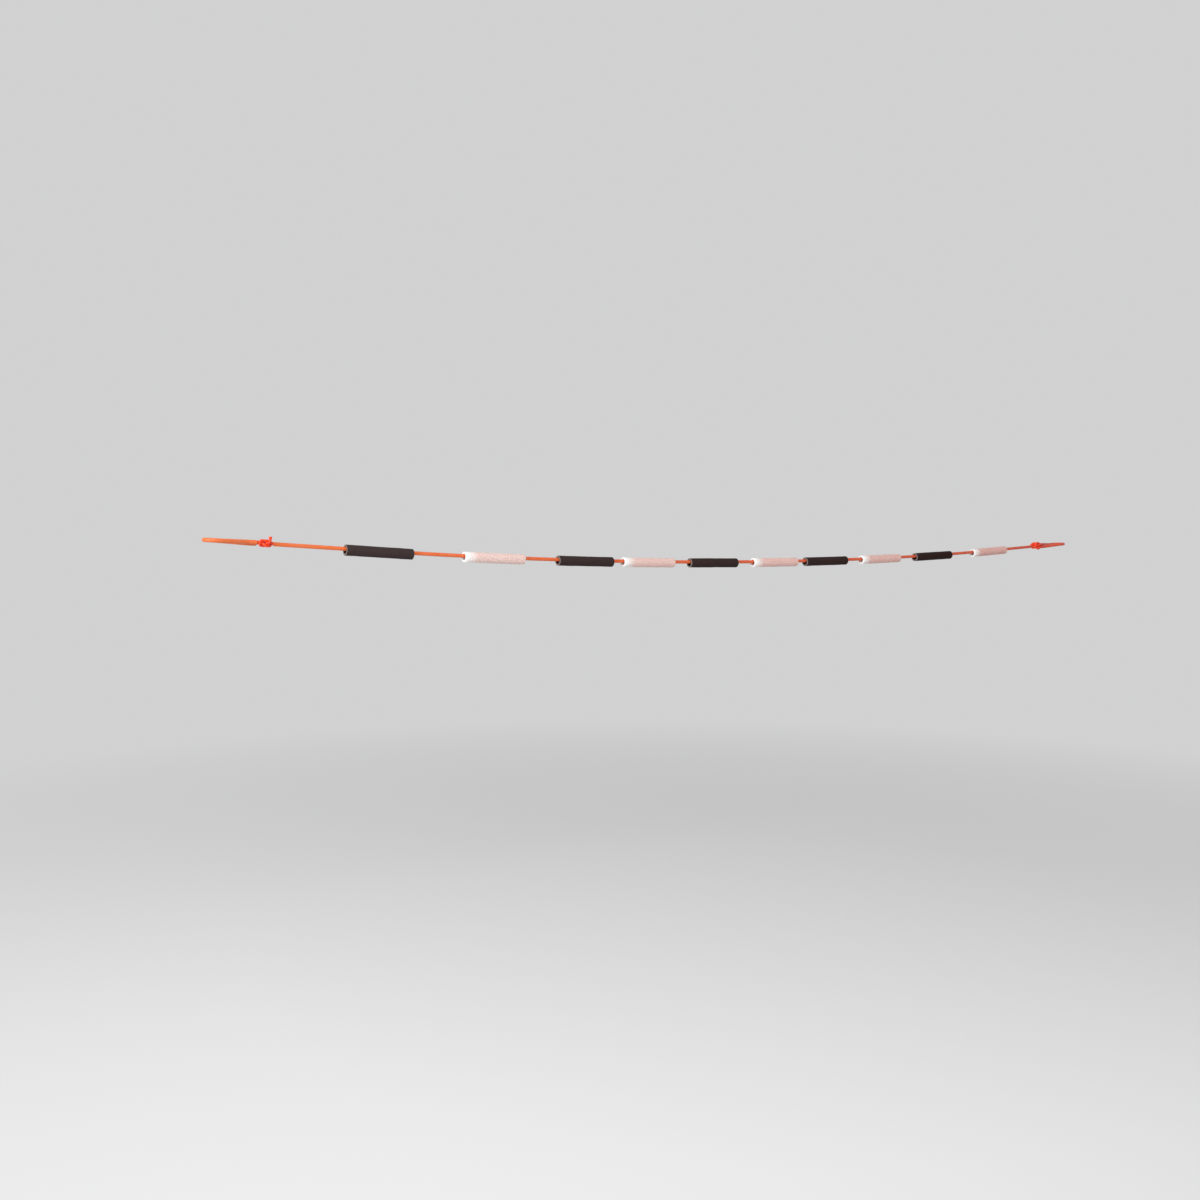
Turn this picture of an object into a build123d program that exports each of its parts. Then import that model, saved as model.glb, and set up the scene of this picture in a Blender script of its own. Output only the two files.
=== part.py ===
from build123d import *
import math
import os

os.makedirs("parts", exist_ok=True)

# Elastic practice crossbar for the high jump. One rubber tube is tied into an eye at each end and
# carries ten foam sleeves, black and white in turn, which hang on it like beads.
# The origin is the centre of the left eye, where the support goes through. X runs along the bar
# to the right eye, Y points away from the jumper and Z is up. All sizes are in millimetres.

# The bar as it hangs between its two supports
eye_to_eye = 3950
sag = 72

# Rubber tube
cord_diameter = 12.5
cord_bore = 8

# Eye loops. The turn is how far, in degrees, the two strands have wound about each other where
# they enter the knot.
eye_width = 42
left_loop_reach = 108
right_loop_reach = 121
left_strand_turn = -20
right_strand_turn = -58
strand_gap = 0.4

# How a loop's strand opens out from the knot to the eye: where along the reach, how much of the
# eye's half width it is out, and how much of its rise at the knot is left
straight_share = 0.88
loop_flare = [(0.45, 0.7, 0.4), (0.15, 1.02, 0)]

# Knots: the doubled tube is tied in an overhand knot and pulled down until it necks. These are the
# measures of a knot of size 1; each knot has its own size.
necked_diameter = 7.2
neck_length = 6.5

# Route of one strand of the doubled tube through half of the knot, as it lies flat with X towards
# the bar. The other half is the same route turned half a turn about Y. The second strand runs
# beside the first, and half of the step from one to the other is strand_step.
half_knot = [
    (15.5, 2.5, 7.5),
    (9.5, -0.5, 3.5),
    (5, -2.5, -1.5),
    (-1.5, -10, -6.5),
    (-13.5, -9.5, -3.5),
    (-17.5, -3.5, 1.5),
    (-14.5, 7, 2),
    (-4, 7.5, -1.5),
]
strand_step = (5.2, 0, -6.2)

# Where the strands run straight again, measured from the middle of the knot
knot_to_cord = 34.5
knot_to_loop = 34.5

# Foam sleeves
sleeve_length = 225
sleeve_bore = 22
sleeve_wall = 6
sleeve_edge = 1.2
hang_gap = 0.9

# Free cord before, between and after the sleeves, from the left knot to the right one. These are
# the pictured gaps; they widen or close together when the sleeves or the bar change length.
pictured_gaps = [208, 183, 136, 47, 76, 83, 50, 88, 100, 148, 188]
sleeve_count = len(pictured_gaps) - 1

# An arc takes this share of the shorter of the two runs that it joins
arc_share = 0.45

cord_radius = cord_diameter / 2
half_pair = (cord_diameter + strand_gap) / 2
knot_length = neck_length + knot_to_loop + knot_to_cord + neck_length
left_mouth = left_loop_reach + knot_length
right_mouth = eye_to_eye - right_loop_reach - knot_length
free_cord = right_mouth - left_mouth - sleeve_count * sleeve_length
spread = free_cord / sum(pictured_gaps)
gaps = [gap * spread for gap in pictured_gaps]


def drop(x):
    """How far the cord hangs below the two eyes, x along the bar."""
    middle = eye_to_eye / 2
    return sag * (1 - ((x - middle) / middle) ** 2)


def corner_radii(points):
    radii = []
    for before, corner, after in zip(points, points[1:], points[2:]):
        run_in = corner - before
        run_out = after - corner
        half_turn = math.radians(run_in.get_angle(run_out)) / 2
        radii.append(arc_share * min(run_in.length, run_out.length) / math.tan(half_turn))
    return radii


def rubber_tube(name, points, outer, bore):
    """A tube of straight runs joined by tangent arcs through the given route."""
    radii = corner_radii(points)
    path = FilletPolyline(*points, radius=radii)
    mouth = Plane(origin=path @ 0, z_dir=path % 0)
    section = mouth * (Circle(outer / 2) - Circle(bore / 2))
    tube = sweep(section, path)
    area = math.pi * (outer**2 - bore**2) / 4
    print(name, "radii", [round(radius, 1) for radius in radii])
    print(name, "length", round(path.length, 1), "volume ratio", round(tube.volume / (area * path.length), 4))
    return tube


# Places of the sleeves and of the gap centres along X
sleeve_centres = []
gap_centres = []
x = left_mouth
for gap in gaps[:-1]:
    x += gap
    gap_centres.append(x - gap / 2)
    sleeve_centres.append(x + sleeve_length / 2)
    x += sleeve_length

# Route of the taut cord: one straight run through each sleeve, turning a little in each gap
bends = [Vector(x, 0, -drop(x)) for x in gap_centres[1:]]
left_eye = Vector(0, 0, 0)
right_eye = Vector(eye_to_eye, 0, 0)
left_pull = (bends[0] - left_eye).normalized()
right_pull = (bends[-1] - right_eye).normalized()
left_knot_out = left_eye + left_pull * left_mouth
right_knot_out = right_eye + right_pull * (eye_to_eye - right_mouth)
cord_route = [left_knot_out] + bends + [right_knot_out]
elastic_cord = rubber_tube("elastic_cord", cord_route, cord_diameter, cord_bore)


def foam_sleeve(centre, start, end):
    """A sleeve round the straight run from start to end, hanging with its bore on the cord."""
    pull = (end - start).normalized()
    seat = start + pull * ((centre - start.X) / pull.X)
    down = Vector(pull.Z, 0, -pull.X)
    hang = sleeve_bore / 2 - cord_radius - hang_gap
    tube = Cylinder(sleeve_bore / 2 + sleeve_wall, sleeve_length)
    tube = fillet(tube.edges().filter_by(GeomType.CIRCLE), sleeve_edge)
    tube -= Cylinder(sleeve_bore / 2, sleeve_length)
    return Plane(origin=seat + down * hang, z_dir=pull, x_dir=(0, 1, 0)) * tube


sleeves = {}
for number, centre in enumerate(sleeve_centres):
    colour = "black" if number % 2 == 0 else "white"
    name = f"{colour}_sleeve_{number // 2 + 1}"
    sleeves[name] = foam_sleeve(centre, cord_route[number], cord_route[number + 1])


def eye_frame(eye, pull):
    """Plane of an eye: its X runs along the pull to the knot and its Z is up."""
    up = pull.cross(Vector(0, 1, 0))
    if up.Z < 0:
        up = -up
    return Plane(origin=eye, x_dir=pull, z_dir=up)


def strand_offset(strand_turn):
    """Sideways and upward step from the axis to the first of the two strands at the knot."""
    turn = math.radians(strand_turn)
    return half_pair * math.cos(turn), half_pair * math.sin(turn)


def eye_loop(name, frame, reach, strand_turn):
    """The loop from the knot round the support and back."""
    half_eye = (eye_width + cord_diameter) / 2
    side, rise = strand_offset(strand_turn)
    corner = half_eye * math.tan(math.radians(22.5))
    near = [Vector(reach, side, rise), Vector(reach * straight_share, side, rise)]
    near += [Vector(reach * along, half_eye * out, rise * up) for along, out, up in loop_flare]
    near += [Vector(-corner, half_eye, 0), Vector(-half_eye, corner, 0)]
    far = [Vector(point.X, -point.Y, -point.Z) for point in reversed(near)]
    points = near + far
    return rubber_tube(name, [frame.from_local_coords(point) for point in points], cord_diameter, cord_bore)


def neck(thin_end, wide_end, outer, bore):
    """The cone where the tube comes out of the knot and swells to its full size."""
    run = wide_end - thin_end
    from_thin = (Align.CENTER, Align.CENTER, Align.MIN)
    cone = Cone(outer / 2, cord_diameter / 2, run.length, align=from_thin)
    cone -= Cone(bore / 2, cord_bore / 2, run.length, align=from_thin)
    return Plane(origin=thin_end, z_dir=run) * cone


def knot(name, frame, reach, strand_turn, size, roll, lean, hand, to_loop, tail):
    """The knot as its two strands. One runs from the cord to the loop, and the other from the
    loop to the cut tail. size makes the knot and its necked tube larger or smaller, roll turns
    the flat knot about the bar, lean moves it off the bar's axis, hand is 1 or -1 for the two
    ways of tying it, and to_loop and tail are the points that lead the strands out."""
    middle = reach + neck_length + knot_to_loop
    outer = necked_diameter * size
    bore = outer * cord_bore / cord_diameter
    first_half = [Vector(*point) * size for point in half_knot]
    second_half = [Vector(-point.X, point.Y, -point.Z) for point in reversed(first_half)]
    step = Vector(*strand_step) * size

    def laid(point):
        turned = Vector(point.X, point.Y * hand, point.Z).rotate(Axis.X, roll)
        return turned + Vector(0, *lean)

    def placed(points):
        return [frame.from_local_coords(point + Vector(middle, 0, 0)) for point in points]

    side, rise = strand_offset(strand_turn)
    near_mouth = Vector(-knot_to_loop, side, rise)
    far_mouth = Vector(-knot_to_loop, -side, -rise)
    cord_mouth = Vector(knot_to_cord, 0, 0)
    along = Vector(neck_length, 0, 0)
    standing = [cord_mouth, cord_mouth - along]
    standing += [laid(point + step) for point in first_half + second_half]
    standing += [Vector(*to_loop), near_mouth + along, near_mouth]
    cut = [Vector(*point) for point in tail]
    cut += [laid(point - step) for point in first_half + second_half]
    cut += [far_mouth + along, far_mouth]
    standing_tube = rubber_tube(name + " standing", placed(standing), outer, bore)
    standing_tube += neck(*placed([cord_mouth, cord_mouth + along]), outer, bore)
    standing_tube += neck(*placed([near_mouth, near_mouth - along]), outer, bore)
    cut_tube = rubber_tube(name + " cut", placed(cut), outer, bore)
    cut_tube += neck(*placed([far_mouth, far_mouth - along]), outer, bore)
    return Compound(children=[standing_tube, cut_tube])


left_frame = eye_frame(left_eye, left_pull)
right_frame = eye_frame(right_eye, right_pull)
pieces = {
    "elastic_cord": elastic_cord,
    "left_loop": eye_loop("left_loop", left_frame, left_loop_reach, left_strand_turn),
    "right_loop": eye_loop("right_loop", right_frame, right_loop_reach, right_strand_turn),
    "left_knot": knot(
        "left_knot", left_frame, left_loop_reach, left_strand_turn,
        size=0.84, roll=90, lean=(-2.5, 2), hand=1,
        to_loop=(-20.5, 9.5, 0.5), tail=[(10.5, -15.5, 21), (9.5, -16, 11)],
    ),
    "right_knot": knot(
        "right_knot", right_frame, right_loop_reach, right_strand_turn,
        size=1, roll=10, lean=(1, 2), hand=-1,
        to_loop=(-19, 1, -11.5), tail=[(22, -12.5, 2), (17.5, -10, 9)],
    ),
    **sleeves,
}
for name, piece in pieces.items():
    export_step(piece, f"parts/{name}.step")
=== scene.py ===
# %% [markdown]
# # An elastic practice crossbar
#
# This lesson dresses a practice crossbar for the high jump. The real object is one length of
# orange rubber tube, tied into an eye at each end and stretched between these eyes, with ten foam
# sleeves threaded on it, black and white in turn. The measured model is loaded as a fixed frame.
# Everything made here is placed from it and moves with its bodies.

import math

import bmesh
import bpy
from mathutils import Euler, Matrix, Vector


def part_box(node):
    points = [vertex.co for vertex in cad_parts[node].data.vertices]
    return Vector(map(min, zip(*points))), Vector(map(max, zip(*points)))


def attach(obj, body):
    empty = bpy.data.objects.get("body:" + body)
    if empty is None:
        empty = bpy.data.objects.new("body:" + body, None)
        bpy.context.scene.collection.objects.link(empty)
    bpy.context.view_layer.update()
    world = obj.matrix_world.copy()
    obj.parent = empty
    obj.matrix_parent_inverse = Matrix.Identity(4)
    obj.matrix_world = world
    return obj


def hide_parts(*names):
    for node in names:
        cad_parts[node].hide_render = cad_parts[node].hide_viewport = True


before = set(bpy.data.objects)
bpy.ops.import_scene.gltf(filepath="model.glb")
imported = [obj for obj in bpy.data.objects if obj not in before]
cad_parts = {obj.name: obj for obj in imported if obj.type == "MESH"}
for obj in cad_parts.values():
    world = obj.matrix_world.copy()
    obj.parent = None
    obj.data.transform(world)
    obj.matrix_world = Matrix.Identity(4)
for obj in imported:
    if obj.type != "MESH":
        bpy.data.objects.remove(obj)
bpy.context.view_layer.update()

# %% [markdown]
# Two helpers keep the cells short. Operators in Blender act on everything that is selected, and
# the frame leaves its nodes selected, so each new piece starts from an empty selection.

# %% Start clean, and pick one piece
MM = 0.001


def start_clean():
    if bpy.context.object and bpy.context.object.mode != "OBJECT":
        bpy.ops.object.mode_set(mode="OBJECT")
    bpy.ops.object.select_all(action="DESELECT")


def only(piece):
    start_clean()
    piece.select_set(True)
    bpy.context.view_layer.objects.active = piece


start_clean()
print("selected pieces:", len(bpy.context.selected_objects))

# %% [markdown]
# ## The camera
#
# The bar is seen from its front, from about the bar's own height and well to the left, so
# it shrinks towards its far end. The camera's place and lens were found once, by matching known
# lengths in the photograph, and are kept as plain values. The picture is square, so one lens
# value with a 36 mm sensor serves both directions.

# %% Place the camera
CAMERA_PLACE = Vector((-1.085, -3.506, 0.009))
CAMERA_YAW = 34.698
CAMERA_PITCH = 2.829
CAMERA_ROLL = 0.341
CAMERA_LENS = 36.72

camera_data = bpy.data.cameras.new("camera")
camera_data.lens = CAMERA_LENS
camera_data.sensor_width = 36
camera = bpy.data.objects.new("camera", camera_data)
bpy.context.scene.collection.objects.link(camera)
turned = Euler((math.radians(90 - CAMERA_PITCH), 0, -math.radians(CAMERA_YAW))).to_matrix()
turned = turned @ Matrix.Rotation(math.radians(CAMERA_ROLL), 3, "Z")
camera.matrix_world = Matrix.Translation(CAMERA_PLACE) @ turned.to_4x4()
bpy.context.scene.camera = camera
bpy.context.scene.view_settings.view_transform = "Standard"
print("camera looks along", [round(x, 3) for x in -turned.col[2]])

# %% [markdown]
# ## The route of the tube
#
# The tube is one piece, nearly five metres long. It starts at the cut tail on the left, goes
# through the left knot into the left eye, comes back through the knot, runs through the sleeves to
# the right knot, and ends in the same way there. Its line is a NURBS spline whose control points
# are the corners of the measured route, because such a spline is smooth everywhere and stays
# close to its corners. It cuts each corner of the sagging middle by up to about a millimetre, so
# those corners are let down by about half of that, and the tube stays clear of a sleeve that is
# pushed over them. The sizes below are those of the measured model, in metres; only the pictured
# gaps are in millimetres, because they are scaled to fit.

# %% Sizes of the bar and the points of its sagging middle
EYE_TO_EYE = 3.950
SAG = 0.072
SLEEVE_LENGTH = 0.225
LEFT_REACH = 0.108
RIGHT_REACH = 0.121
NECK = 0.0065
KNOT_HALF = 0.0345
PICTURED_GAPS = [208, 183, 136, 47, 76, 83, 50, 88, 100, 148, 188]
LET_DOWN = 0.0006

knot_span = 2 * NECK + 2 * KNOT_HALF
cord_start = LEFT_REACH + knot_span
cord_end = EYE_TO_EYE - RIGHT_REACH - knot_span
sleeve_count = len(PICTURED_GAPS) - 1
free_cord = cord_end - cord_start - sleeve_count * SLEEVE_LENGTH
gaps = [gap * free_cord / sum(PICTURED_GAPS) for gap in PICTURED_GAPS]


def sag_at(x):
    """How far the cord hangs below the eyes, x along the bar."""
    middle = EYE_TO_EYE / 2
    return SAG * (1 - ((x - middle) / middle) ** 2)


bends = []
x = cord_start
for gap in gaps[:-1]:
    x += gap
    bends.append(Vector((x - gap / 2, 0, -sag_at(x - gap / 2))))
    x += SLEEVE_LENGTH
bends = bends[1:]
print("gaps between the sleeves in mm:", [round(gap / MM) for gap in gaps])

# %% [markdown]
# The two ends are worked out in the eye's own frame, where X points from the middle of the eye
# along the pull to the knot. The eye's strands run side by side out of the knot and open into it.
# The knot is an overhand knot tied in the doubled tube. One strand of it is half a route, and the
# same half turned half a turn about Y; the second strand lies beside the first. The points inside
# a knot are in millimetres. Roll turns the knot about the bar, lean moves it off the bar's line,
# and hand is 1 or -1 for the two ways of tying it.

# %% Points of the eyes and the knots
HALF_PAIR = 0.00645
EYE_HALF = 0.02725
HALF_KNOT = [
    (15.5, 2.5, 7.5),
    (9.5, -0.5, 3.5),
    (5, -2.5, -1.5),
    (-1.5, -10, -6.5),
    (-13.5, -9.5, -3.5),
    (-17.5, -3.5, 1.5),
    (-14.5, 7, 2),
    (-4, 7.5, -1.5),
]
STRAND_STEP = Vector((5.2, 0, -6.2)) * MM
STRAIGHT_SHARE = 0.88
LOOP_FLARE = [(0.45, 0.7, 0.4), (0.15, 1.02, 0)]
LEFT_SIZE = 0.84
RIGHT_SIZE = 1.0


def in_eye_frame(eye, pull, point):
    """A point of an eye's own frame in the bar's frame."""
    up = pull.cross(Vector((0, 1, 0)))
    if up.z < 0:
        up = -up
    side = up.cross(pull)
    return eye + pull * point.x + side * point.y + up * point.z


def loop_points(reach, side, rise):
    """The eye, from one strand at the knot all the way round to the other."""
    corner = EYE_HALF * math.tan(math.radians(22.5))
    near = [Vector((reach, side, rise)), Vector((reach * STRAIGHT_SHARE, side, rise))]
    near += [Vector((reach * along, EYE_HALF * out, rise * up)) for along, out, up in LOOP_FLARE]
    near += [Vector((-corner, EYE_HALF, 0)), Vector((-EYE_HALF, corner, 0))]
    far = [Vector((point.x, -point.y, -point.z)) for point in reversed(near)]
    return near + far


def knot_strand(middle, step, size, roll, lean, hand):
    """One strand of the knot, from its bar side to its eye side."""
    first = [Vector(point) * MM for point in HALF_KNOT]
    second = [Vector((-point.x, point.y, -point.z)) for point in reversed(first)]
    turn = Matrix.Rotation(math.radians(roll), 3, "X")
    laid = []
    for point in first + second:
        point = (point + step) * size
        laid.append(turn @ Vector((point.x, point.y * hand, point.z)) + lean + middle)
    return laid


def knotted_end(eye, pull, reach, strand_turn, size, roll, lean, hand, to_loop, tail):
    """Points from the bar through the knot, round the eye, and back to the cut tail."""
    side = HALF_PAIR * math.cos(math.radians(strand_turn))
    rise = HALF_PAIR * math.sin(math.radians(strand_turn))
    middle = Vector((reach + NECK + KNOT_HALF, 0, 0))
    lean = Vector((0, *lean)) * MM
    near_mouth = middle + Vector((-KNOT_HALF, side, rise))
    far_mouth = middle + Vector((-KNOT_HALF, -side, -rise))
    cord_mouth = middle + Vector((KNOT_HALF, 0, 0))
    straight = Vector((NECK, 0, 0))
    points = [cord_mouth, cord_mouth - straight]
    points += knot_strand(middle, STRAND_STEP, size, roll, lean, hand)
    points += [middle + Vector(to_loop) * MM, near_mouth + straight, near_mouth]
    points += loop_points(reach, side, rise)
    points += [far_mouth, far_mouth + straight]
    points += reversed(knot_strand(middle, -STRAND_STEP, size, roll, lean, hand))
    points += [middle + Vector(point) * MM for point in reversed(tail)]
    return [in_eye_frame(eye, pull, point) for point in points]


left_eye = Vector((0, 0, 0))
right_eye = Vector((EYE_TO_EYE, 0, 0))
left_pull = (bends[0] - left_eye).normalized()
right_pull = (bends[-1] - right_eye).normalized()
tube_bends = [bend - Vector((0, 0, LET_DOWN)) for bend in bends]
left_end = knotted_end(
    left_eye, left_pull, LEFT_REACH,
    strand_turn=-20, size=LEFT_SIZE, roll=90, lean=(-2.5, 2), hand=1,
    to_loop=(-20.5, 9.5, 0.5), tail=[(10.5, -15.5, 21), (9.5, -16, 11)],
)
right_end = knotted_end(
    right_eye, right_pull, RIGHT_REACH,
    strand_turn=-58, size=RIGHT_SIZE, roll=10, lean=(1, 2), hand=-1,
    to_loop=(-19, 1, -11.5), tail=[(22, -12.5, 2), (17.5, -10, 9)],
)
route = left_end[::-1] + tube_bends + right_end
print("control points of the tube:", len(route))

# %% [markdown]
# A curve object with one NURBS spline turns the control points into a smooth line. Its order is
# set after the points are added, because a spline with too few points falls back to straight runs.
# The mesh of a curve without a bevel is its line, and that line carries the tube's rings.

# %% Turn the route into a smooth line
STEPS_PER_POINT = 10


def smooth_line(points):
    curve = bpy.data.curves.new("route", "CURVE")
    curve.dimensions = "3D"
    curve.resolution_u = STEPS_PER_POINT
    spline = curve.splines.new("NURBS")
    spline.points.add(len(points) - 1)
    for target, point in zip(spline.points, points):
        target.co = (*point, 1)
    spline.order_u = 3
    spline.use_endpoint_u = True
    holder = bpy.data.objects.new("route", curve)
    mesh = bpy.data.meshes.new_from_object(holder)
    line = [vertex.co.copy() for vertex in mesh.vertices]
    bpy.data.objects.remove(holder)
    bpy.data.curves.remove(curve)
    bpy.data.meshes.remove(mesh)
    return line


tube_line = smooth_line(route)
run = [0.0]
for before, after in zip(tube_line, tube_line[1:]):
    run.append(run[-1] + (after - before).length)
tube_length = run[-1]
print("the tube is", round(tube_length, 3), "m long on", len(tube_line), "points")

# %% [markdown]
# ## The tube's surface
#
# The tube is 12.5 millimetres thick where it hangs free. Pulled tight in a knot, rubber necks down,
# so the radius narrows there and the strands press on each other. The cut tails swell again and
# show the bore. A ring of points is carried along the line without twisting, and the rings are
# joined into one skin, turned in at both ends.

# %% Radius along the tube
TUBE_RADIUS = 0.00625
TUBE_BORE = 0.0040
NECKED_RADIUS = 0.0050
TAIL_RADIUS = 0.0048
KNOT_EDGE = 0.024
SWELL = 0.009
TAIL_SWELL = 0.012


def knot_middle(eye, pull, reach):
    return eye + pull * (reach + NECK + KNOT_HALF)


knots = [
    (knot_middle(left_eye, left_pull, LEFT_REACH), LEFT_SIZE),
    (knot_middle(right_eye, right_pull, RIGHT_REACH), RIGHT_SIZE),
]


def ease(value):
    value = min(max(value, 0), 1)
    return value * value * (3 - 2 * value)


def tightness(point):
    """1 inside a knot and 0 where the tube hangs free, with the size of the knot."""
    middle, size = min(knots, key=lambda knot: abs((point - knot[0]).x))
    away = abs((point - middle).x)
    return 1 - ease((away - KNOT_EDGE * size) / SWELL), size


def radius_at(number):
    tight, size = tightness(tube_line[number])
    radius = TUBE_RADIUS + (NECKED_RADIUS * size - TUBE_RADIUS) * tight
    to_cut = min(run[number], tube_length - run[number])
    cut = 1 - ease(to_cut / TAIL_SWELL)
    return radius + (TAIL_RADIUS - radius) * cut


radii = [radius_at(number) for number in range(len(tube_line))]
print("radius of the tube:", round(min(radii) / MM, 2), "to", round(max(radii) / MM, 2), "mm")

# %% Carry rings along the line and skin them
SIDES = 24
FULL_TURN = 2 * math.pi
SOFT_EDGE = 0.0004
HOLLOW_DEPTH = 0.012
POINT_SIZE = 0.00002


def turned_frames(line):
    """A direction across the tube at each point, carried along without twisting."""
    ahead = [(line[1] - line[0]).normalized()]
    for before, after in zip(line, line[2:]):
        ahead.append((after - before).normalized())
    ahead.append((line[-1] - line[-2]).normalized())
    across = ahead[0].orthogonal().normalized()
    frames = []
    for direction in ahead:
        across = (across - direction * across.dot(direction)).normalized()
        frames.append((across.copy(), direction.cross(across)))
    return ahead, frames


def ring(centre, across, upward, radius):
    points = []
    for side in range(SIDES):
        angle = FULL_TURN * side / SIDES
        outward = across * math.cos(angle) + upward * math.sin(angle)
        points.append(centre + outward * radius)
    return points


def cut_end(centre, outward, frames, radius):
    """Rings of a hollow cut end, from inside the bore out to the edge."""
    bore = TUBE_BORE * radius / TUBE_RADIUS
    profile = [
        (POINT_SIZE, HOLLOW_DEPTH),
        (bore * 0.9, HOLLOW_DEPTH),
        (bore, HOLLOW_DEPTH / 2),
        (bore, SOFT_EDGE),
        (bore + SOFT_EDGE, 0),
        (radius - SOFT_EDGE, 0),
    ]
    return [ring(centre - outward * depth, *frames, size) for size, depth in profile]


def tube_mesh(name, line, radii):
    ahead, frames = turned_frames(line)
    rings = cut_end(line[0], -ahead[0], frames[0], radii[0])
    lengths = [0.0] * len(rings)
    for number, centre in enumerate(line):
        if number == 0:
            centre = centre + ahead[0] * SOFT_EDGE
        if number == len(line) - 1:
            centre = centre - ahead[-1] * SOFT_EDGE
        rings.append(ring(centre, *frames[number], radii[number]))
        lengths.append(run[number])
    closing = cut_end(line[-1], ahead[-1], frames[-1], radii[-1])[::-1]
    rings += closing
    lengths += [tube_length] * len(closing)
    vertices = [point for points in rings for point in points]
    faces = []
    for number in range(len(rings) - 1):
        low = number * SIDES
        high = low + SIDES
        for side in range(SIDES):
            following = (side + 1) % SIDES
            faces.append((low + side, low + following, high + following, high + side))
    faces.append(tuple(reversed(range(SIDES))))
    last = (len(rings) - 1) * SIDES
    faces.append(tuple(range(last, last + SIDES)))
    mesh = bpy.data.meshes.new(name)
    mesh.from_pydata(vertices, [], faces)
    layer = mesh.uv_layers.new(name="around_and_along")
    for face in mesh.polygons:
        for loop in face.loop_indices:
            vertex = mesh.loops[loop].vertex_index
            around = (vertex % SIDES) / SIDES
            if face.index % SIDES == SIDES - 1 and around == 0:
                around = 1.0
            layer.data[loop].uv = (around * FULL_TURN * TUBE_RADIUS, lengths[vertex // SIDES])
    return mesh


tube = bpy.data.objects.new("rubber_tube", tube_mesh("rubber_tube", tube_line, radii))
bpy.context.scene.collection.objects.link(tube)
tight = tube.data.attributes.new("tight", "FLOAT", "POINT")
tight.data.foreach_set("value", [tightness(vertex.co)[0] for vertex in tube.data.vertices])
only(tube)
bpy.ops.object.shade_smooth_by_angle(angle=math.radians(40))
print("tube faces:", len(tube.data.polygons))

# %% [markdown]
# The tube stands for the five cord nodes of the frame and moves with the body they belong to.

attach(tube, "cord")
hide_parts("elastic_cord", "left_loop", "right_loop", "left_knot", "right_knot")
print("the tube starts at", [round(value, 3) for value in tube_line[0]])

# %% [markdown]
# ## A foam sleeve
#
# A sleeve is a length of extruded closed-cell foam, cut square with a knife. It is modelled as by
# hand: a cylinder, its end faces inset by the wall, the two inner faces bridged into a bore, and
# the rims bevelled. Cuts all along it give it enough rings for the small dents that foam takes.

# %% Model one sleeve along Z
SLEEVE_OUTER = 0.017
SLEEVE_BORE = 0.011
RIM = 0.0011
EDGE_ZONE = 0.008
SLEEVE_SIDES = 72
SLEEVE_RINGS = 44


def select_by(parts, test):
    for part in parts:
        part.select_set(bool(test(part)))


def model_sleeve():
    start_clean()
    bpy.ops.mesh.primitive_cylinder_add(
        vertices=SLEEVE_SIDES, radius=SLEEVE_OUTER, depth=SLEEVE_LENGTH, end_fill_type="NGON"
    )
    sleeve = bpy.context.object
    bpy.ops.object.mode_set(mode="EDIT")
    bpy.ops.mesh.select_mode(type="FACE")
    work = bmesh.from_edit_mesh(sleeve.data)
    select_by(work.faces, lambda face: abs(face.normal.z) > 0.9)
    bpy.ops.mesh.inset(thickness=SLEEVE_OUTER - SLEEVE_BORE)
    bpy.ops.mesh.bridge_edge_loops()
    bpy.ops.mesh.select_mode(type="EDGE")
    work = bmesh.from_edit_mesh(sleeve.data)
    half = SLEEVE_LENGTH / 2
    select_by(work.edges, lambda edge: on_rim(edge, half))
    bpy.ops.mesh.bevel(offset=RIM, segments=3, affect="EDGES")
    work = bmesh.from_edit_mesh(sleeve.data)
    select_by(work.edges, lambda edge: edge.calc_length() > 0.9 * SLEEVE_LENGTH)
    bpy.ops.mesh.subdivide(number_cuts=SLEEVE_RINGS)
    work = bmesh.from_edit_mesh(sleeve.data)
    select_by(work.edges, lambda edge: on_cut_face(edge, half))
    bpy.ops.mesh.subdivide(number_cuts=2)
    bpy.ops.object.mode_set(mode="OBJECT")
    return sleeve


def on_rim(edge, half):
    """An edge of one of the four circles where the cut faces meet the skin and the bore."""
    first, second = (vertex.co for vertex in edge.verts)
    level = abs(first.z) > half - 1e-5 and abs(first.z - second.z) < 1e-6
    return level and abs(first.xy.length - second.xy.length) < 1e-5


def on_cut_face(edge, half):
    """A radial edge across a cut face."""
    first, second = (vertex.co for vertex in edge.verts)
    level = abs(first.z) > half - 1e-5 and abs(second.z) > half - 1e-5
    return level and abs(first.xy.length - second.xy.length) > RIM


pattern = model_sleeve()
pattern.name = "sleeve_pattern"
print("pattern sleeve:", len(pattern.data.polygons), "faces")

# %% [markdown]
# ## Ten sleeves on the tube
#
# Each sleeve is a copy of the pattern with its own mesh, turned to the straight run of cord that
# it hangs on and pushed to its place in the frame. The sleeve hangs with the top of its bore just
# over the cord. Clouds of displacement, read at the sleeve's own place on the bar, make each skin a
# little uneven. A vertex group keeps them off the bore, which has to clear the tube as it slides.

# %% Copy, place and dent the sleeves
dents = bpy.data.textures.new("dents", "CLOUDS")
dents.noise_scale = 0.035
dents.noise_depth = 1
crumbs = bpy.data.textures.new("crumbs", "CLOUDS")
crumbs.noise_scale = 0.004
crumbs.noise_depth = 2
DENT_HEIGHT = 0.0009
CRUMB_HEIGHT = 0.00022
ROUND_WALL = 0.001
WALL_TO_SKIN = 0.003


def mark(mesh, name, values):
    layer = mesh.attributes.new(name, "FLOAT", "POINT")
    layer.data.foreach_set("value", values)


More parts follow.
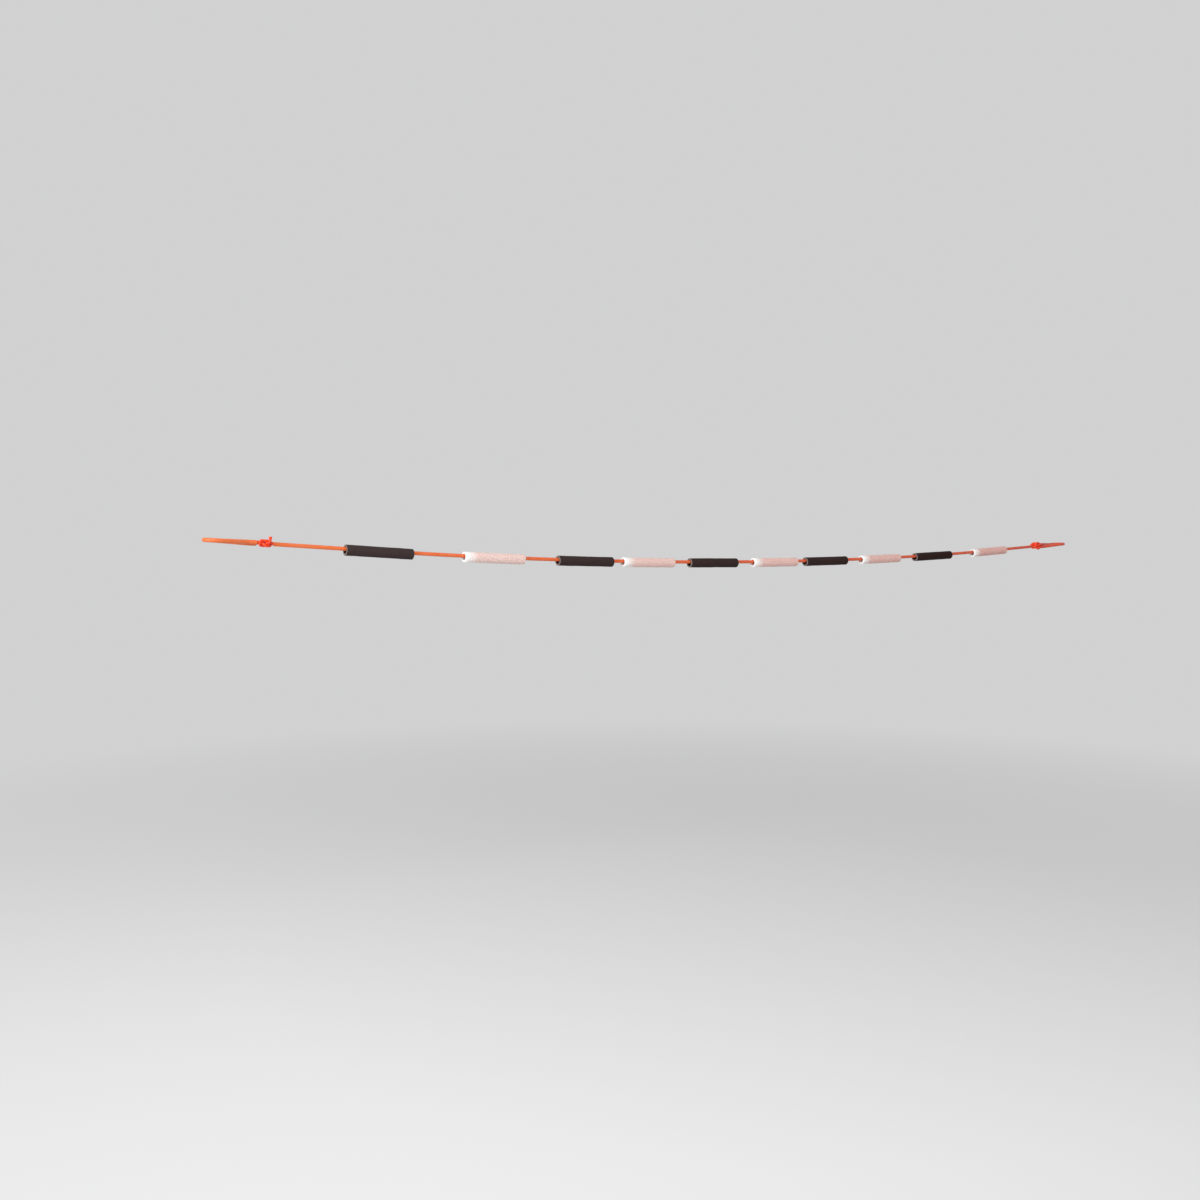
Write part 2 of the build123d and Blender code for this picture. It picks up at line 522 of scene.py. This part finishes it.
def mark_sleeve(mesh):
    """Notes on each point where it is on the sleeve: along it, on a cut face, near an edge."""
    half = SLEEVE_LENGTH / 2
    along = [(vertex.co.z + half) / SLEEVE_LENGTH for vertex in mesh.vertices]
    to_end = [half - abs(vertex.co.z) for vertex in mesh.vertices]
    reach = [vertex.co.xy.length for vertex in mesh.vertices]
    mark(mesh, "along", along)
    mark(mesh, "cut", [1 - ease(depth / (0.6 * RIM)) for depth in to_end])
    outer = [size > SLEEVE_OUTER - 2 * RIM for size in reach]
    mark(mesh, "edge", [(1 - ease(depth / EDGE_ZONE)) * out for depth, out in zip(to_end, outer)])
    layer = mesh.uv_layers[0]
    layer.name = "around_and_along"
    for face in mesh.polygons:
        angles = [math.atan2(mesh.vertices[v].co.y, mesh.vertices[v].co.x) for v in face.vertices]
        wraps = max(angles) - min(angles) > math.pi
        for loop, angle, vertex in zip(face.loop_indices, angles, face.vertices):
            if wraps and angle < 0:
                angle += FULL_TURN
            layer.data[loop].uv = (angle * SLEEVE_OUTER, mesh.vertices[vertex].co.z)


def weigh_skin(sleeve):
    """A vertex group that lets the dents reach the skin and leaves the bore round."""
    group = sleeve.vertex_groups.new(name="skin")
    for vertex in sleeve.data.vertices:
        share = ease((vertex.co.xy.length - SLEEVE_BORE - ROUND_WALL) / WALL_TO_SKIN)
        group.add([vertex.index], share, "REPLACE")


def place_sleeve(name, start, end):
    pull = (end - start).normalized()
    low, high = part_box(name)
    middle = (low + high) / 2
    sleeve = pattern.copy()
    sleeve.data = pattern.data.copy()
    sleeve.name = name + "_foam"
    bpy.context.scene.collection.objects.link(sleeve)
    turn = Matrix((pull.cross(Vector((0, 1, 0))) * -1, Vector((0, 1, 0)), pull)).transposed()
    only(sleeve)
    sleeve.matrix_world = Matrix.Translation(middle) @ turn.to_4x4()
    bpy.ops.object.transform_apply(location=True, rotation=True, scale=True)
    for texture, strength in ((dents, DENT_HEIGHT), (crumbs, CRUMB_HEIGHT)):
        bend = sleeve.modifiers.new(texture.name, "DISPLACE")
        bend.texture = texture
        bend.texture_coords = "LOCAL"
        bend.strength = strength
        bend.mid_level = 0.5
        bend.vertex_group = "skin"
        bpy.ops.object.modifier_apply(modifier=bend.name)
    bpy.ops.object.shade_smooth_by_angle(angle=math.radians(35))
    return sleeve


mark_sleeve(pattern.data)
weigh_skin(pattern)
runs = [in_eye_frame(left_eye, left_pull, Vector((cord_start, 0, 0)))] + bends
runs += [in_eye_frame(right_eye, right_pull, Vector((EYE_TO_EYE - cord_end, 0, 0)))]
sleeves = {}
for number in range(sleeve_count):
    colour = "black" if number % 2 == 0 else "white"
    name = f"{colour}_sleeve_{number // 2 + 1}"
    sleeve = place_sleeve(name, runs[number], runs[number + 1])
    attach(sleeve, name)
    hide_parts(name)
    sleeves[name] = sleeve
bpy.data.objects.remove(pattern)
print("sleeves:", ", ".join(sleeves))

# %% [markdown]
# ## Building materials
#
# Materials are node trees. A few small helpers start a material or a group, add a node with its
# values, mix two colours and move a value to another range, so that each material reads like a
# recipe.

# %% Helpers for nodes


def add(tree, kind, place, **values):
    node = tree.nodes.new(kind)
    node.location = place
    for name, value in values.items():
        if name in node.inputs:
            node.inputs[name].default_value = value
        else:
            setattr(node, name, value)
    return node


def new_group(name, inputs, outputs):
    group = bpy.data.node_groups.new(name, "ShaderNodeTree")
    for socket, kind, value in inputs:
        made = group.interface.new_socket(socket, in_out="INPUT", socket_type=kind)
        if value is not None:
            made.default_value = value
    for socket, kind in outputs:
        group.interface.new_socket(socket, in_out="OUTPUT", socket_type=kind)
    return group, add(group, "NodeGroupInput", (-800, 0)), add(group, "NodeGroupOutput", (600, 0))


def new_material(name):
    material = bpy.data.materials.new(name)
    material.use_nodes = True
    tree = material.node_tree
    tree.nodes.clear()
    output = add(tree, "ShaderNodeOutputMaterial", (900, 0), name="Material Output")
    shader = add(tree, "ShaderNodeBsdfPrincipled", (600, 0))
    tree.links.new(shader.outputs[0], output.inputs[0])
    return material, tree, shader


def mixed(tree, place, factor, first, second, blend="MIX"):
    """A colour mix; each input is a socket or a plain colour."""
    node = add(tree, "ShaderNodeMix", place, data_type="RGBA", blend_type=blend)
    for socket, value in ((node.inputs[0], factor), (node.inputs[6], first), (node.inputs[7], second)):
        if isinstance(value, bpy.types.NodeSocket):
            tree.links.new(value, socket)
        else:
            socket.default_value = value
    return node.outputs[2]


def scaled(tree, place, value, from_low, from_high, to_low, to_high):
    """The value, moved from one range to another."""
    node = add(tree, "ShaderNodeMapRange", place)
    tree.links.new(value, node.inputs["Value"])
    node.inputs["From Min"].default_value = from_low
    node.inputs["From Max"].default_value = from_high
    node.inputs["To Min"].default_value = to_low
    node.inputs["To Max"].default_value = to_high
    return node.outputs["Result"]


print("helpers ready")

# %% [markdown]
# Foam and rubber are both handled, dropped and dragged about. One group makes the marks of that:
# broad smudges and small scuffs, as two masks. A second group makes the lengthwise streaks that an
# extruder leaves, read from the piece's own map of around and along.

# %% Shared node groups


def marks_group():
    group, start, end = new_group(
        "handling marks",
        [("Vector", "NodeSocketVector", None), ("Smudge size", "NodeSocketFloat", 30.0)],
        [("Smudges", "NodeSocketFloat"), ("Scuffs", "NodeSocketFloat")],
    )
    broad = add(group, "ShaderNodeTexNoise", (-500, 200), Detail=4.0, Roughness=0.55)
    fine = add(group, "ShaderNodeTexNoise", (-500, -150), Scale=240.0, Detail=5.0, Roughness=0.7)
    group.links.new(start.outputs["Vector"], broad.inputs["Vector"])
    group.links.new(start.outputs["Smudge size"], broad.inputs["Scale"])
    group.links.new(start.outputs["Vector"], fine.inputs["Vector"])
    smudges = scaled(group, (-200, 200), broad.outputs[0], 0.42, 0.68, 0, 1)
    scuffs = scaled(group, (-200, -150), fine.outputs[0], 0.58, 0.72, 0, 1)
    group.links.new(smudges, end.inputs["Smudges"])
    group.links.new(scuffs, end.inputs["Scuffs"])
    return group


def streaks_group():
    group, start, end = new_group(
        "extruded streaks",
        [("Map", "NodeSocketVector", None), ("Lines per metre", "NodeSocketFloat", 900.0)],
        [("Streaks", "NodeSocketFloat")],
    )
    stretch = add(group, "ShaderNodeMapping", (-500, 0))
    stretch.inputs["Scale"].default_value = (1.0, 0.02, 1.0)
    lines = add(group, "ShaderNodeTexNoise", (-200, 0), Detail=3.0, Roughness=0.6)
    group.links.new(start.outputs["Map"], stretch.inputs["Vector"])
    group.links.new(stretch.outputs[0], lines.inputs["Vector"])
    group.links.new(start.outputs["Lines per metre"], lines.inputs["Scale"])
    group.links.new(lines.outputs[0], end.inputs["Streaks"])
    return group


marks = marks_group()
streaks = streaks_group()
print("groups:", marks.name, "and", streaks.name)

# %% [markdown]
# ## Rubber
#
# The tube is orange latex rubber with a satin skin. It is a little see-through at its edges, which
# a small amount of subsurface light gives. Where it is pulled tight in a knot the rubber is denser
# and redder. It grows darker towards the far end of the bar.

# %% Make the rubber
RUBBER_LIGHT = (0.74, 0.155, 0.035, 1)
RUBBER_FAR = (0.62, 0.060, 0.026, 1)
RUBBER_TIGHT = (0.80, 0.045, 0.008, 1)
RUBBER_DUST = (0.76, 0.30, 0.15, 1)
RUBBER_STREAK = (0.45, 0.06, 0.02, 1)
RUBBER_FADE = (0.3, 3.9)
DUST_SHARE = 0.22


def add_group(tree, group, place):
    node = tree.nodes.new("ShaderNodeGroup")
    node.node_tree = group
    node.location = place
    return node


def rubber_material():
    material, tree, shader = new_material("orange_rubber")
    where = add(tree, "ShaderNodeTexCoord", (-1200, 0))
    split = add(tree, "ShaderNodeSeparateXYZ", (-1000, 300))
    tight = add(tree, "ShaderNodeAttribute", (-1000, 500), attribute_name="tight")
    worn = add_group(tree, marks, (-1000, -100))
    drawn = add_group(tree, streaks, (-1000, -300))
    drawn.inputs["Lines per metre"].default_value = 1400.0
    worn.inputs["Smudge size"].default_value = 22.0
    tree.links.new(where.outputs["Object"], split.inputs[0])
    tree.links.new(where.outputs["Object"], worn.inputs["Vector"])
    tree.links.new(where.outputs["UV"], drawn.inputs["Map"])
    far = scaled(tree, (-800, 300), split.outputs["X"], *RUBBER_FADE, 0, 1)
    colour = mixed(tree, (-550, 300), far, RUBBER_LIGHT, RUBBER_FAR)
    colour = mixed(tree, (-350, 300), tight.outputs["Fac"], colour, RUBBER_TIGHT)
    dust = scaled(tree, (-750, -100), worn.outputs["Smudges"], 0, 1, 0, DUST_SHARE)
    loose = scaled(tree, (-750, 100), tight.outputs["Fac"], 0, 1, 1, 0)
    settled = add(tree, "ShaderNodeMath", (-350, 100), operation="MULTIPLY")
    tree.links.new(dust, settled.inputs[0])
    tree.links.new(loose, settled.inputs[1])
    colour = mixed(tree, (-150, 250), settled.outputs[0], colour, RUBBER_DUST)
    lines = scaled(tree, (-750, -300), drawn.outputs["Streaks"], 0.3, 0.7, 0, 0.25)
    colour = mixed(tree, (50, 250), lines, colour, RUBBER_STREAK)
    tree.links.new(colour, shader.inputs["Base Color"])
    rough = scaled(tree, (-350, -50), worn.outputs["Smudges"], 0, 1, 0.30, 0.48)
    tree.links.new(rough, shader.inputs["Roughness"])
    bump = add(tree, "ShaderNodeBump", (200, -300), Strength=0.25, Distance=0.0002)
    tree.links.new(drawn.outputs["Streaks"], bump.inputs["Height"])
    tree.links.new(bump.outputs[0], shader.inputs["Normal"])
    shader.inputs["Subsurface Weight"].default_value = 0.25
    shader.inputs["Subsurface Radius"].default_value = (1.0, 0.35, 0.12)
    shader.inputs["Subsurface Scale"].default_value = 0.003
    shader.inputs["Specular IOR Level"].default_value = 0.35
    return material


rubber = rubber_material()
tube.data.materials.append(rubber)
print("material:", rubber.name)

# %% [markdown]
# ## Foam
#
# Both foams are the same stuff in two colours: a skin of tiny closed cells, and cut faces where
# the cells are open and catch the light. Cells are a Voronoi pattern that dents the surface, under
# a millimetre across on the skin and a little over one on the cut faces. The black foam is a warm
# black that goes grey on its cut edges. The left end of each white sleeve is painted whiter, as
# painted light from the lamp at the left, and the white skin has a faint pink cast. Both grow a
# little warmer towards the far end of the bar.

# %% Make the foam
CELL_SCALE = 1500.0
CUT_CELL_SCALE = 800.0
FOAM_FADE = (0.4, 3.4)
# Shares of a white sleeve's length over which its left end is painted whiter, as painted light.
PAINTED_LIGHT_SPAN = (0.03, 0.20)


def foam_material(name, skin, skin_far, cut_colour, edge_colour, soil, soil_share, streak_share, painted_light_colour):
    """A foam: skin fade and streaks, soil, painted light at the left end if given, edges and cuts."""
    material, tree, shader = new_material(name)
    where = add(tree, "ShaderNodeTexCoord", (-1400, 0))
    split = add(tree, "ShaderNodeSeparateXYZ", (-1200, 500))
    cut = add(tree, "ShaderNodeAttribute", (-1200, 350), attribute_name="cut")
    edge = add(tree, "ShaderNodeAttribute", (-1200, 200), attribute_name="edge")
    along = add(tree, "ShaderNodeAttribute", (-1200, 50), attribute_name="along")
    worn = add_group(tree, marks, (-1200, -150))
    drawn = add_group(tree, streaks, (-1200, -350))
    cells = add(tree, "ShaderNodeTexVoronoi", (-1200, -550), Scale=CELL_SCALE)
    open_cells = add(tree, "ShaderNodeTexVoronoi", (-1200, -800), Scale=CUT_CELL_SCALE)
    tree.links.new(where.outputs["Object"], split.inputs[0])
    for user in (worn, cells, open_cells):
        tree.links.new(where.outputs["Object"], user.inputs["Vector"])
    tree.links.new(where.outputs["UV"], drawn.inputs["Map"])
    far = scaled(tree, (-950, 500), split.outputs["X"], *FOAM_FADE, 0, 1)
    colour = mixed(tree, (-750, 450), far, skin, skin_far)
    lines = scaled(tree, (-950, -350), drawn.outputs["Streaks"], 0.35, 0.65, 0, streak_share)
    colour = mixed(tree, (-550, 420), lines, colour, soil)
    smudged = scaled(tree, (-950, -150), worn.outputs["Smudges"], 0, 1, 0, soil_share)
    colour = mixed(tree, (-350, 400), smudged, colour, soil)
    # Painted light: the left end of each white sleeve is painted whiter, fading out a fifth of the way
    # along.
    if painted_light_colour:
        lit = scaled(tree, (-750, 50), along.outputs["Fac"], *PAINTED_LIGHT_SPAN, 1, 0)
        colour = mixed(tree, (-250, 380), lit, colour, painted_light_colour)
    rubbed = add(tree, "ShaderNodeMath", (-750, 200), operation="MULTIPLY")
    tree.links.new(edge.outputs["Fac"], rubbed.inputs[0])
    tree.links.new(worn.outputs["Scuffs"], rubbed.inputs[1])
    colour = mixed(tree, (-100, 350), rubbed.outputs[0], colour, edge_colour)
    colour = mixed(tree, (100, 350), cut.outputs["Fac"], colour, cut_colour)
    # Painted shade: on the cut faces the middle of each open cell is painted darker, as the shade in
    # its pit.
    pit_shade = scaled(tree, (-750, -800), open_cells.outputs["Distance"], 0.0, 0.6, 0.55, 1.0)
    cut_pit_shade = mixed(tree, (150, 100), cut.outputs["Fac"], (1, 1, 1, 1), pit_shade)
    colour = mixed(tree, (320, 300), 1.0, colour, cut_pit_shade, blend="MULTIPLY")
    tree.links.new(colour, shader.inputs["Base Color"])
    rough = scaled(tree, (100, -50), worn.outputs["Smudges"], 0, 1, 0.62, 0.85)
    tree.links.new(rough, shader.inputs["Roughness"])
    skin_bump = add(tree, "ShaderNodeBump", (100, -400), Strength=0.35, Distance=0.0003)
    cut_bump = add(tree, "ShaderNodeBump", (350, -400), Strength=0.8, Distance=0.0006)
    cut_height = add(tree, "ShaderNodeMath", (100, -700), operation="MULTIPLY")
    tree.links.new(cells.outputs["Distance"], skin_bump.inputs["Height"])
    tree.links.new(open_cells.outputs["Distance"], cut_height.inputs[0])
    tree.links.new(cut.outputs["Fac"], cut_height.inputs[1])
    tree.links.new(cut_height.outputs[0], cut_bump.inputs["Height"])
    tree.links.new(skin_bump.outputs[0], cut_bump.inputs["Normal"])
    tree.links.new(cut_bump.outputs[0], shader.inputs["Normal"])
    return material, shader


black_foam, black_shader = foam_material(
    "black_foam",
    skin=(0.042, 0.030, 0.029, 1),
    skin_far=(0.017, 0.003, 0.002, 1),
    cut_colour=(0.20, 0.165, 0.150, 1),
    edge_colour=(0.13, 0.108, 0.10, 1),
    soil=(0.040, 0.026, 0.023, 1),
    soil_share=0.35,
    streak_share=0.35,
    painted_light_colour=None,
)
white_foam, white_shader = foam_material(
    "white_foam",
    skin=(0.74, 0.57, 0.53, 1),
    skin_far=(0.66, 0.38, 0.335, 1),
    cut_colour=(0.93, 0.92, 0.91, 1),
    edge_colour=(0.90, 0.86, 0.84, 1),
    soil=(0.64, 0.45, 0.40, 1),
    soil_share=0.15,
    streak_share=0.15,
    # The whiter colour of painted light on the left end of each white sleeve.
    painted_light_colour=(0.87, 0.85, 0.84, 1),
)
black_shader.inputs["Specular IOR Level"].default_value = 0.06
white_shader.inputs["Specular IOR Level"].default_value = 0.25
white_shader.inputs["Subsurface Weight"].default_value = 0.6
white_shader.inputs["Subsurface Radius"].default_value = (1.0, 0.85, 0.75)
white_shader.inputs["Subsurface Scale"].default_value = 0.010
for name, sleeve in sleeves.items():
    sleeve.data.materials.clear()
    sleeve.data.materials.append(black_foam if name.startswith("black") else white_foam)
print("foam on", len(sleeves), "sleeves")

# %% [markdown]
# ## The stage
#
# The bar hangs about a metre and a half above the floor, and the camera is at the bar's own
# height, so the far edge of the floor would run right behind the bar. The floor therefore fades
# into the same plain pale grey as the world behind it. Near the bar it is ordinary matt paint,
# which takes the bar's soft shadow; from a few metres away it shows the plain grey, but only to
# the camera and to reflections, so that no extra light reaches the bar.

# %% Make the floor
FLOOR_HEIGHT = -1.488
FLOOR_HALF = 60.0
FLOOR_NEAR = 1.8
FLOOR_FAR = 5.5
PALE_GREY = (0.640, 0.640, 0.645, 1)
FLOOR_PAINT = (0.70, 0.70, 0.705, 1)


def seen_directly(tree, place):
    """1 for what the camera, a reflection or a clear material sees, 0 for light."""
    rays = add(tree, "ShaderNodeLightPath", place)
    either = add(tree, "ShaderNodeMath", (place[0] + 200, place[1]), operation="MAXIMUM")
    all_three = add(tree, "ShaderNodeMath", (place[0] + 400, place[1]), operation="MAXIMUM")
    tree.links.new(rays.outputs["Is Camera Ray"], either.inputs[0])
    tree.links.new(rays.outputs["Is Glossy Ray"], either.inputs[1])
    tree.links.new(either.outputs[0], all_three.inputs[0])
    tree.links.new(rays.outputs["Is Transmission Ray"], all_three.inputs[1])
    return all_three.outputs[0]


def stage_material():
    material, tree, paint = new_material("pale_floor")
    output = tree.nodes["Material Output"]
    paint.inputs["Base Color"].default_value = FLOOR_PAINT
    paint.inputs["Roughness"].default_value = 0.95
    paint.inputs["Specular IOR Level"].default_value = 0.1
    where = add(tree, "ShaderNodeTexCoord", (-900, -300))
    middle = add(tree, "ShaderNodeVectorMath", (-700, -300), operation="DISTANCE")
    middle.inputs[1].default_value = (EYE_TO_EYE / 2, 0, FLOOR_HEIGHT)
    tree.links.new(where.outputs["Object"], middle.inputs[0])
    away = scaled(tree, (-500, -300), middle.outputs["Value"], FLOOR_NEAR, FLOOR_FAR, 0, 1)
    share = add(tree, "ShaderNodeMath", (300, -250), operation="MULTIPLY")
    tree.links.new(away, share.inputs[0])
    tree.links.new(seen_directly(tree, (-500, -600)), share.inputs[1])
    plain = add(tree, "ShaderNodeEmission", (300, -450), Color=PALE_GREY, Strength=1.0)
    both = add(tree, "ShaderNodeMixShader", (700, -100))
    output.location = (1000, 0)
    tree.links.new(share.outputs[0], both.inputs[0])
    tree.links.new(paint.outputs[0], both.inputs[1])
    tree.links.new(plain.outputs[0], both.inputs[2])
    tree.links.new(both.outputs[0], output.inputs[0])
    return material


start_clean()
bpy.ops.mesh.primitive_plane_add(size=2 * FLOOR_HALF, location=(EYE_TO_EYE / 2, 0, FLOOR_HEIGHT))
floor = bpy.context.object
floor.name = "floor"
bpy.ops.object.transform_apply(location=True, rotation=True, scale=True)
floor.data.materials.append(stage_material())
print("floor at", FLOOR_HEIGHT, "m")

# %% [markdown]
# ## Light
#
# The light is soft and comes from all round, a little stronger from the front left. A second lamp
# stands beyond the left end and looks along the bar, straight at the cut faces of the sleeves.
# The world has two strengths: one lights the bar, the other is the pale grey that is seen.

# %% Light the bar
WORLD_LIGHT = 0.57


def area_lamp(name, place, target, size, power):
    data = bpy.data.lights.new(name, "AREA")
    data.shape = "RECTANGLE"
    data.size = size
    data.size_y = size * 0.6
    data.energy = power
    lamp = bpy.data.objects.new(name, data)
    bpy.context.scene.collection.objects.link(lamp)
    aim = (Vector(target) - Vector(place)).to_track_quat("-Z", "Y")
    lamp.matrix_world = Matrix.Translation(place) @ aim.to_matrix().to_4x4()


def soft_world():
    world = bpy.data.worlds.new("soft_light")
    world.use_nodes = True
    tree = world.node_tree
    tree.nodes.clear()
    output = add(tree, "ShaderNodeOutputWorld", (600, 0))
    light = add(tree, "ShaderNodeBackground", (0, 150), Color=(1, 1, 1, 1), Strength=WORLD_LIGHT)
    seen = add(tree, "ShaderNodeBackground", (0, -50), Color=PALE_GREY, Strength=1.0)
    both = add(tree, "ShaderNodeMixShader", (350, 0))
    tree.links.new(seen_directly(tree, (-600, 300)), both.inputs[0])
    tree.links.new(light.outputs[0], both.inputs[1])
    tree.links.new(seen.outputs[0], both.inputs[2])
    tree.links.new(both.outputs[0], output.inputs[0])
    return world


bpy.context.scene.world = soft_world()
area_lamp("front_lamp", place=(-1.5, -4.5, 3.2), target=(1.4, 0, 0), size=3.0, power=200)
area_lamp("left_lamp", place=(-7.0, -1.8, 1.4), target=(1.5, 0, 0), size=3.5, power=500)
print("lamps:", [light.name for light in bpy.data.lights])
